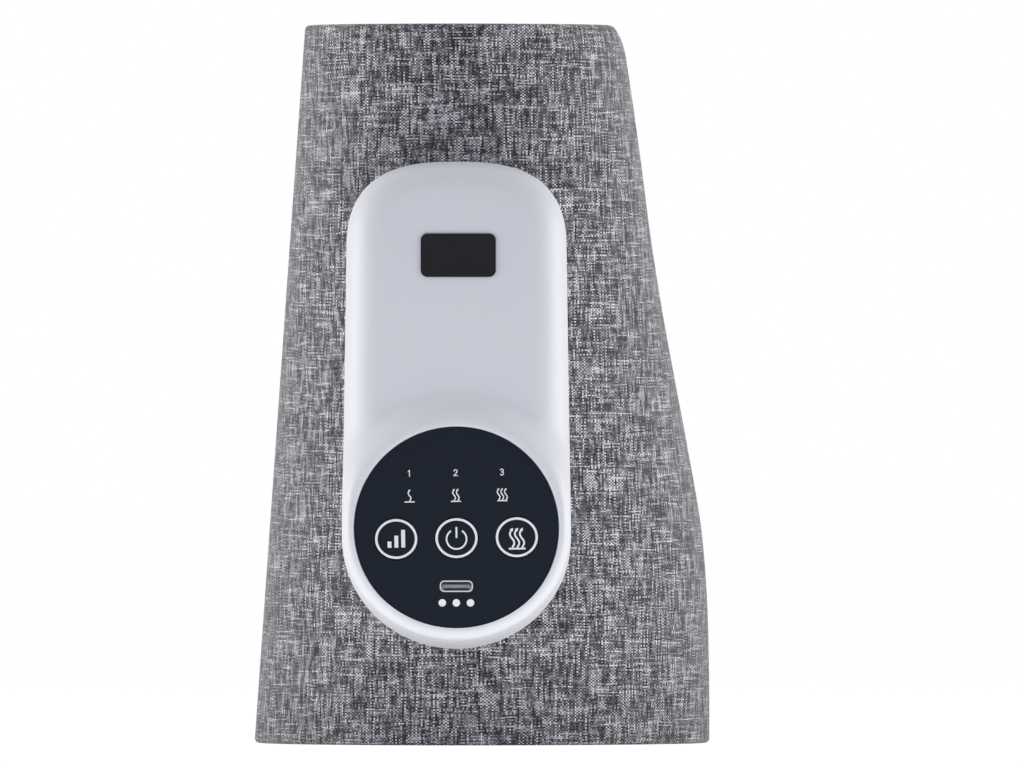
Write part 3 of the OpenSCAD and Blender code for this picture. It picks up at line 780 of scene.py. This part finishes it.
finish(frontCover, "front", ["front_cover"], coverPaint, 50)
finish(frontLining, "front", ["front_lining"], liningPaint, 50)
finish(frontFoam, "front", ["front_foam"], foamPaint, 50)


def tangentAt(angle, turn):
    a, b = cuffPoint(angle, height / 2, 0), cuffPoint(angle + turn, height / 2, 0)
    direction = (b - a).normalized()
    return a, a + direction * cuff["bend"] * mm


# these are finished without a body, and their transforms are baked into their meshes
leftPieces = [
    (leftCover, "cover_fabric", "left_cover", coverPaint),
    (leftLining, "lining_fabric", "left_lining", liningPaint),
    (leftLower, "air_film", "left_bladder_lower", filmPaint),
    (leftUpper, "air_film", "left_bladder_upper", filmPaint)]
for piece, slotName, node, material in leftPieces:
    finish(piece, None, [node], material, 50)
    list(tangentAt(-seam, -3))
    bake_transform(piece)
rightPieces = [
    (rightCover, "cover_fabric", "right_cover", coverPaint),
    (rightLining, "lining_fabric", "right_lining", liningPaint),
    (rightLower, "air_film", "right_bladder_lower", filmPaint),
    (rightUpper, "air_film", "right_bladder_upper", filmPaint)]
for piece, slotName, node, material in rightPieces:
    finish(piece, None, [node], material, 50)
    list(tangentAt(seam, 3))
    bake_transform(piece)
finish(leftCore, "left_wing", ["left_flap_core"], foamPaint, 50)
finish(hookStrips, "left_wing", ["hook_strips"], hookPaint, 50)
finish(loopPatch, "right_wing", ["loop_patch"], loopPaint, 50)
finish(rightCore, "right_wing", ["right_tuck_core"], foamPaint, 50)

# stage and lights: white to the camera and in reflections, tinted lamps and ambient on the object

# a white over 1 clips the floor to plain white
stage = dict(floor=30.0, tone=0.9, whiteShare=0.85, white=1.13, ambient=0.29,
             ambientTone=(0.82, 0.87, 1.0, 1))


def backgroundRays(tree, share):
    # how far a ray should meet plain white: rays of the camera, reflections and glass
    path = tree.nodes.new("ShaderNodeLightPath")
    total = path.outputs["Is Camera Ray"]
    for name in ("Is Glossy Ray", "Is Transmission Ray"):
        add = tree.nodes.new("ShaderNodeMath")
        add.operation = "MAXIMUM"
        tree.links.new(total, add.inputs[0])
        tree.links.new(path.outputs[name], add.inputs[1])
        total = add.outputs[0]
    part = tree.nodes.new("ShaderNodeMath")
    part.operation = "MULTIPLY"
    part.inputs[1].default_value = share
    tree.links.new(total, part.inputs[0])
    return part.outputs[0]


bpy.ops.mesh.primitive_plane_add(size=stage["floor"], location=(0, 0, 0))
floor = named("floor")
floorPaint = Paint("paleFloor", Roughness=1.0, Specular_IOR_Level=0.0)
floorPaint.shader.inputs["Base Color"].default_value = (stage["tone"], stage["tone"], stage["tone"], 1)
glow = floorPaint.tree.nodes.new("ShaderNodeEmission")
glow.inputs["Strength"].default_value = stage["white"]
blendWhite = floorPaint.tree.nodes.new("ShaderNodeMixShader")
floorPaint.tree.links.new(backgroundRays(floorPaint.tree, stage["whiteShare"]), blendWhite.inputs[0])
floorPaint.tree.links.new(floorPaint.shader.outputs[0], blendWhite.inputs[1])
floorPaint.tree.links.new(glow.outputs[0], blendWhite.inputs[2])
surface = next(n for n in floorPaint.tree.nodes if n.type == "OUTPUT_MATERIAL")
floorPaint.tree.links.new(blendWhite.outputs[0], surface.inputs["Surface"])
floor.data.materials.append(floorPaint.material)

world = bpy.context.scene.world or bpy.data.worlds.new("world")
bpy.context.scene.world = world
world.use_nodes = True
sky = world.node_tree
sky.nodes.clear()
ambient = sky.nodes.new("ShaderNodeBackground")
ambient.inputs["Color"].default_value = stage["ambientTone"]
ambient.inputs["Strength"].default_value = stage["ambient"]
backdrop = sky.nodes.new("ShaderNodeBackground")
backdrop.inputs["Color"].default_value = (1, 1, 1, 1)
choose = sky.nodes.new("ShaderNodeMixShader")
sky.links.new(backgroundRays(sky, 1.0), choose.inputs[0])
sky.links.new(ambient.outputs[0], choose.inputs[1])
sky.links.new(backdrop.outputs[0], choose.inputs[2])
ending = sky.nodes.new("ShaderNodeOutputWorld")
sky.links.new(choose.outputs[0], ending.inputs[0])

lamps = [
    dict(name="leftSoftbox", at=(-0.9, -0.1, 0.17), size=0.8, power=7.05, colour=(1.0, 0.985, 0.93)),
    dict(name="rightSoftbox", at=(0.9, -0.1, 0.17), size=0.8, power=7.1, colour=(1.0, 0.985, 0.93)),
    dict(name="lightTable", at=(0.0, -0.28, 0.004), size=0.4, power=0.38, colour=(1.0, 1.0, 1.0),
         aim=(0, -0.28, 1)),
    dict(name="topSoftbox", at=(0.0, -0.05, 1.1), size=0.7, power=1.7, colour=(1.0, 0.99, 0.97)),
    dict(name="frontFill", at=(0.0, -1.6, 0.25), size=1.0, power=1.0, colour=(0.35, 0.48, 1.0)),
]
for lamp in lamps:
    spot = Vector(lamp["at"])
    aim = Vector(lamp.get("aim", (0, 0, 0.1)))
    bpy.ops.object.light_add(type="AREA", location=spot)
    light = bpy.context.object
    light.name = lamp["name"]
    light.data.shape = "SQUARE"
    light.data.size = lamp["size"]
    light.data.energy = lamp["power"]
    light.data.color = lamp["colour"]
    light.visible_camera = False
    light.rotation_euler = (aim - spot).to_track_quat("-Z", "Y").to_euler()
print("stage lit")
